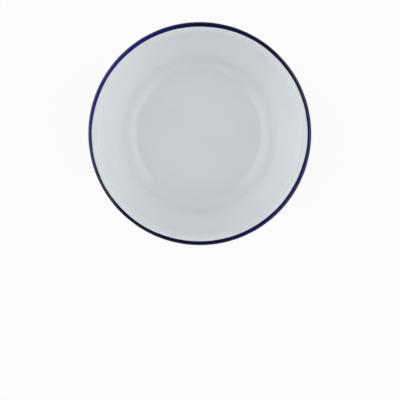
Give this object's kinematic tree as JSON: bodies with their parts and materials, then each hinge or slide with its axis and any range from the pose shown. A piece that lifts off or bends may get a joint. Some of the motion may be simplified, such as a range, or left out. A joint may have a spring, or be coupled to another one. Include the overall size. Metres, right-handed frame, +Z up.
{
  "type": "bowl",
  "caption": "Round enamelled steel basin bowl with a tapered wall, rounded foot corner, flat base and rolled blue rim, for food, mixing or washing.",
  "frame": {"origin": "centre of the flat underside, on the surface that the bowl stands on", "axes": "+Z up along the bowl's axis; X and Y are alike, because the bowl is round"},
  "size_m": [0.16, 0.16, 0.078],
  "materials": {
    "steel_sheet": "pressed and pickled",
    "ground_enamel": "fired, semi-matt",
    "white_enamel": "fired, glossy",
    "blue_enamel": "fired, glossy"
  },
  "bodies": {
    "root": {"steel_shell": "steel_sheet", "ground_coat_inside": "ground_enamel", "ground_coat_outside": "ground_enamel", "white_coat_inside": "white_enamel", "white_coat_outside": "white_enamel", "blue_rim_coat": "blue_enamel"}
  },
  "joints": []
}
